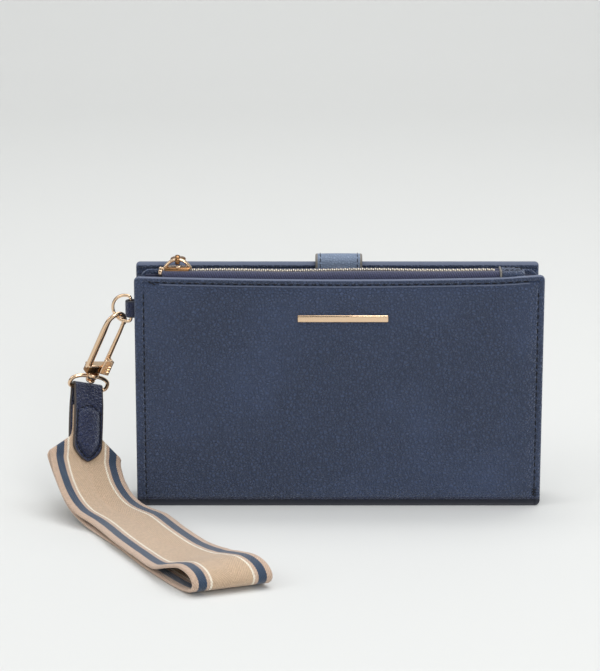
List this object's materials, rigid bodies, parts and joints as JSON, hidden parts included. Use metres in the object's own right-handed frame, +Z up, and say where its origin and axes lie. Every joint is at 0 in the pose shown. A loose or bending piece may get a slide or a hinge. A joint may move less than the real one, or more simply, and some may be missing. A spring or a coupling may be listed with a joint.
{
  "type": "wristlet wallet",
  "caption": "Slim zip wristlet wallet with a hinged card section, snap tab, and a striped webbing wrist strap on a swivel hook.",
  "frame": {"origin": "centre of the base, on the surface that the closed wallet stands on", "axes": "+X along the wallet away from the strap's end, +Y from the front panel to the card section, +Z up"},
  "size_m": [0.2312, 0.1521, 0.12],
  "materials": {
    "navy_leather": "pebbled satin",
    "lining_cloth": "woven twill",
    "zip_tape": "woven tape",
    "rose_gold": "polished light rose gold",
    "striped_webbing": "woven cotton, navy and ivory stripes"
  },
  "bodies": {
    "front_section": {"front_panel": "navy_leather", "badge_bar": "rose_gold", "front_lining": "lining_cloth", "inner_wall": "navy_leather", "inner_lining": "lining_cloth", "gusset_left": "navy_leather", "gusset_right": "navy_leather", "spine_panel": "navy_leather", "pocket_floor": "lining_cloth", "zip_tape_front": "zip_tape", "zip_tape_rear": "zip_tape", "zip_teeth_front": "rose_gold", "zip_teeth_rear": "rose_gold", "zip_start_stop": "rose_gold", "zip_end_cover": "navy_leather", "snap_stud": "rose_gold", "ring_loop": "navy_leather"},
    "slider": {"slider_body": "rose_gold"},
    "pull": {"pull_tab": "rose_gold"},
    "card_section": {"rear_panel": "navy_leather", "bill_lining": "lining_cloth", "card_backing": "navy_leather", "card_pocket_left_1": "navy_leather", "card_pocket_left_2": "navy_leather", "card_pocket_left_3": "navy_leather", "card_pocket_right_1": "navy_leather", "card_pocket_right_2": "navy_leather", "card_pocket_right_3": "navy_leather", "tab_root": "navy_leather"},
    "snap_tab": {"tab_strip": "navy_leather", "snap_socket": "rose_gold"},
    "ring": {"d_ring": "rose_gold"},
    "hook": {"hook_body": "rose_gold"},
    "gate": {"hook_gate": "rose_gold"},
    "eye": {"swivel_eye": "rose_gold"},
    "strap": {"connector_leather": "navy_leather", "strap_webbing": "striped_webbing"}
  },
  "joints": [
    {"name": "card_fold", "type": "hinge", "parent": "front_section", "child": "card_section", "pos_m": [0, 0.0125, 0], "axis": [-1, 0, 0], "range_deg": [0, 90]},
    {"name": "tab_swing", "type": "hinge", "parent": "card_section", "child": "snap_tab", "pos_m": [0, 0.0141, 0.1066], "axis": [-1, 0, 0], "range_deg": [0, 150]},
    {"name": "zip_slide", "type": "slide", "parent": "front_section", "child": "slider", "axis": [1, 0, 0], "range_m": [0, 0.14]},
    {"name": "pull_swing", "type": "hinge", "parent": "slider", "child": "pull", "pos_m": [-0.075, -0.0055, 0.1176], "axis": [1, 0, 0], "range_deg": [0, 165]},
    {"name": "ring_swing", "type": "hinge", "parent": "front_section", "child": "ring", "pos_m": [-0.0969, -0.006, 0.0944], "axis": [0, 0, 1], "range_deg": [-25, 6]},
    {"name": "hook_tilt", "type": "hinge", "parent": "ring", "child": "hook", "pos_m": [-0.10316, -0.00372, 0.08951], "axis": [0.7603, -0.2767, -0.5877], "range_deg": [-35, 2]},
    {"name": "gate_press", "type": "hinge", "parent": "hook", "child": "gate", "pos_m": [-0.11015, 0.00625, 0.06454], "axis": [0.4957, -0.7498, -0.4382], "range_deg": [0, 12], "stiffness_Nm_per_rad": 0.002, "springref_deg": -11.46},
    {"name": "eye_turn", "type": "hinge", "parent": "hook", "child": "eye", "pos_m": [-0.11933, 0.00725, 0.05245], "axis": [-0.3858, 0.2619, -0.8846], "range_deg": [0, 60]},
    {"name": "strap_swing", "type": "hinge", "parent": "eye", "child": "strap", "pos_m": [-0.11933, 0.00725, 0.05245], "axis": [0.8751, 0.4081, -0.26], "range_deg": [-45, 0]}
  ]
}
